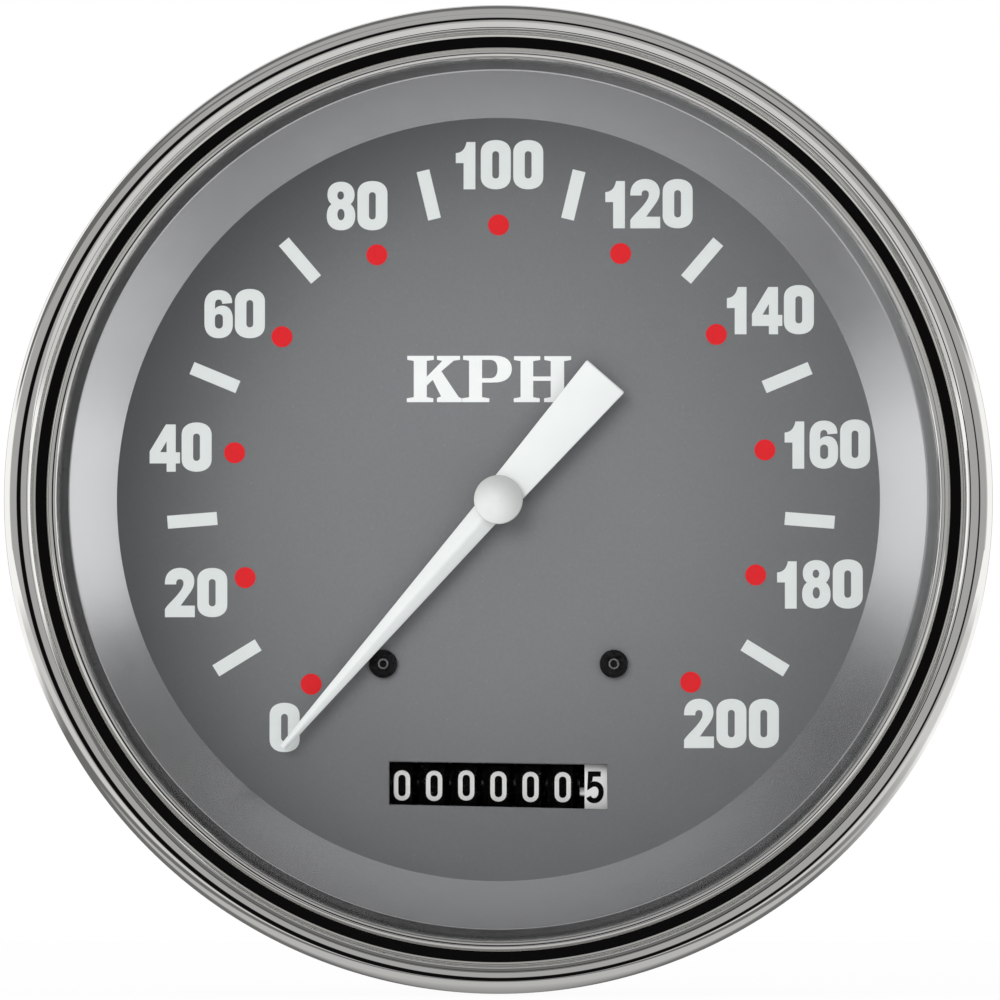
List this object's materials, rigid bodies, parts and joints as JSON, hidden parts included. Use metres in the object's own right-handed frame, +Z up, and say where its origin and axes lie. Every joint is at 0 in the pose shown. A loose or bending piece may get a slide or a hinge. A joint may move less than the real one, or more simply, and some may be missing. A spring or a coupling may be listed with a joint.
{
  "type": "panel speedometer",
  "caption": "Round cable-driven panel speedometer with a stepped chrome bezel, a grey dial, a white needle and a roller distance counter in a window.",
  "frame": {"origin": "on the instrument's axis, in the plane where the bezel rests on the panel", "axes": "+Z up, +X right as read, dial facing -Y, cable drive towards +Y"},
  "size_m": [0.125, 0.0864, 0.125],
  "materials": {
    "chrome": "polished chromium plate",
    "lens_glass": "clear flat glass",
    "black_rubber": "matte black rubber",
    "satin_aluminium": "spun, satin silver",
    "zinc_plated_case": "drawn steel, zinc plated",
    "dial_paint": "matte grey with a fine speckle, printed white and red",
    "black_screw": "black oxide",
    "pointer_white": "satin white",
    "cap_silver": "turned, satin silver",
    "steel": "ground steel",
    "zinc_plated_steel": "zinc plated",
    "brass": "stamped or turned brass",
    "aluminium": "pressed aluminium",
    "frame_casting": "die cast",
    "magnet_alloy": "cast magnet alloy",
    "brown_resin": "fabric-filled brown resin",
    "white_resin": "white with black figures",
    "black_resin": "black with white figures",
    "lamp_resin": "black moulding",
    "bulb_glass": "clear bulb"
  },
  "bodies": {
    "instrument": {"bezel": "chrome", "lens": "lens_glass", "lens_gasket": "black_rubber", "trim_ring": "satin_aluminium", "case_shell": "zinc_plated_case", "dial_plate": "dial_paint", "dial_screws": "black_screw", "stop_pin": "steel", "hairspring": "steel", "flux_cup": "steel", "counter_axle": "steel", "pinion_shaft": "steel", "bridge_screws": "steel", "movement_screws": "zinc_plated_steel", "housing_nut": "zinc_plated_steel", "mounting_studs": "zinc_plated_steel", "hairspring_post": "brass", "bridge": "brass", "pointer_bush": "brass", "spindle_bush": "brass", "lamp_terminals": "brass", "movement_frame": "frame_casting", "drive_housing": "frame_casting", "thrust_washer": "brown_resin", "lamp_holders": "lamp_resin", "lamp_bulbs": "bulb_glass"},
    "pointer": {"pointer_needle": "pointer_white", "pointer_cap": "cap_silver", "pointer_spindle": "steel", "stop_arm": "brass", "hairspring_collet": "brass", "drag_cup": "aluminium"},
    "drive": {"drive_spindle": "steel", "drive_worm": "brown_resin", "magnet": "magnet_alloy"},
    "cross": {"cross_shaft": "steel", "worm_wheel": "brown_resin", "cross_pinion": "brass"},
    "idler": {"idler_shaft": "steel", "idler_wheel": "brass", "idler_pinion": "brass"},
    "tenths_wheel": {"number_wheel_tenths": "white_resin", "counter_wheel": "brass"},
    "units_wheel": {"number_wheel_units": "black_resin"},
    "tens_wheel": {"number_wheel_tens": "black_resin"},
    "hundreds_wheel": {"number_wheel_hundreds": "black_resin"},
    "thousands_wheel": {"number_wheel_thousands": "black_resin"},
    "ten_thousands_wheel": {"number_wheel_ten_thousands": "black_resin"},
    "hundred_thousands_wheel": {"number_wheel_hundred_thousands": "black_resin"},
    "units_pinion": {"transfer_pinion_units": "brass"},
    "tens_pinion": {"transfer_pinion_tens": "brass"},
    "hundreds_pinion": {"transfer_pinion_hundreds": "brass"},
    "thousands_pinion": {"transfer_pinion_thousands": "brass"},
    "ten_thousands_pinion": {"transfer_pinion_ten_thousands": "brass"},
    "hundred_thousands_pinion": {"transfer_pinion_hundred_thousands": "brass"}
  },
  "joints": [
    {"name": "pointer_swing", "type": "hinge", "parent": "instrument", "child": "pointer", "pos_m": [0, 0, 0], "axis": [0, 1, 0], "range_deg": [0, 276], "stiffness_Nm_per_rad": 0.0002, "springref_deg": -28.65, "deforming": ["hairspring"]},
    {"name": "drive_spin", "type": "hinge", "parent": "instrument", "child": "drive", "pos_m": [0, 0, 0], "axis": [0, 1, 0], "continuous": true},
    {"name": "cross_spin", "type": "hinge", "parent": "instrument", "child": "cross", "pos_m": [0, 0.027, -0.0136], "axis": [1, 0, 0], "continuous": true},
    {"name": "idler_spin", "type": "hinge", "parent": "instrument", "child": "idler", "pos_m": [0, 0.01923, -0.031], "axis": [1, 0, 0], "continuous": true},
    {"name": "tenths_wheel_spin", "type": "hinge", "parent": "instrument", "child": "tenths_wheel", "pos_m": [0, 0.01, -0.036], "axis": [1, 0, 0], "continuous": true},
    {"name": "units_wheel_spin", "type": "hinge", "parent": "instrument", "child": "units_wheel", "pos_m": [0, 0.01, -0.036], "axis": [1, 0, 0], "continuous": true},
    {"name": "units_pinion_spin", "type": "hinge", "parent": "instrument", "child": "units_pinion", "pos_m": [0, 0.02008, -0.036], "axis": [1, 0, 0], "continuous": true},
    {"name": "tens_wheel_spin", "type": "hinge", "parent": "instrument", "child": "tens_wheel", "pos_m": [0, 0.01, -0.036], "axis": [1, 0, 0], "continuous": true},
    {"name": "tens_pinion_spin", "type": "hinge", "parent": "instrument", "child": "tens_pinion", "pos_m": [0, 0.02008, -0.036], "axis": [1, 0, 0], "continuous": true},
    {"name": "hundreds_wheel_spin", "type": "hinge", "parent": "instrument", "child": "hundreds_wheel", "pos_m": [0, 0.01, -0.036], "axis": [1, 0, 0], "continuous": true},
    {"name": "hundreds_pinion_spin", "type": "hinge", "parent": "instrument", "child": "hundreds_pinion", "pos_m": [0, 0.02008, -0.036], "axis": [1, 0, 0], "continuous": true},
    {"name": "thousands_wheel_spin", "type": "hinge", "parent": "instrument", "child": "thousands_wheel", "pos_m": [0, 0.01, -0.036], "axis": [1, 0, 0], "continuous": true},
    {"name": "thousands_pinion_spin", "type": "hinge", "parent": "instrument", "child": "thousands_pinion", "pos_m": [0, 0.02008, -0.036], "axis": [1, 0, 0], "continuous": true},
    {"name": "ten_thousands_wheel_spin", "type": "hinge", "parent": "instrument", "child": "ten_thousands_wheel", "pos_m": [0, 0.01, -0.036], "axis": [1, 0, 0], "continuous": true},
    {"name": "ten_thousands_pinion_spin", "type": "hinge", "parent": "instrument", "child": "ten_thousands_pinion", "pos_m": [0, 0.02008, -0.036], "axis": [1, 0, 0], "continuous": true},
    {"name": "hundred_thousands_wheel_spin", "type": "hinge", "parent": "instrument", "child": "hundred_thousands_wheel", "pos_m": [0, 0.01, -0.036], "axis": [1, 0, 0], "continuous": true},
    {"name": "hundred_thousands_pinion_spin", "type": "hinge", "parent": "instrument", "child": "hundred_thousands_pinion", "pos_m": [0, 0.02008, -0.036], "axis": [1, 0, 0], "continuous": true}
  ],
  "couplings": [
    {"joint": "cross_spin", "follows": "drive_spin", "ratio": 0.025},
    {"joint": "idler_spin", "follows": "drive_spin", "ratio": -0.005},
    {"joint": "tenths_wheel_spin", "follows": "drive_spin", "ratio": 0.001},
    {"joint": "units_wheel_spin", "follows": "drive_spin", "ratio": 0.0001},
    {"joint": "units_pinion_spin", "follows": "drive_spin", "ratio": -0.00025},
    {"joint": "tens_wheel_spin", "follows": "drive_spin", "ratio": 0.00001},
    {"joint": "tens_pinion_spin", "follows": "drive_spin", "ratio": -0.000025},
    {"joint": "hundreds_wheel_spin", "follows": "drive_spin", "ratio": 0.000001},
    {"joint": "hundreds_pinion_spin", "follows": "drive_spin", "ratio": -0.0000025},
    {"joint": "thousands_wheel_spin", "follows": "drive_spin", "ratio": 0.0000001},
    {"joint": "thousands_pinion_spin", "follows": "drive_spin", "ratio": -0.00000025},
    {"joint": "ten_thousands_wheel_spin", "follows": "drive_spin", "ratio": 0.00000001},
    {"joint": "ten_thousands_pinion_spin", "follows": "drive_spin", "ratio": -0.000000025},
    {"joint": "hundred_thousands_wheel_spin", "follows": "drive_spin", "ratio": 0.000000001},
    {"joint": "hundred_thousands_pinion_spin", "follows": "drive_spin", "ratio": -0.0000000025}
  ]
}
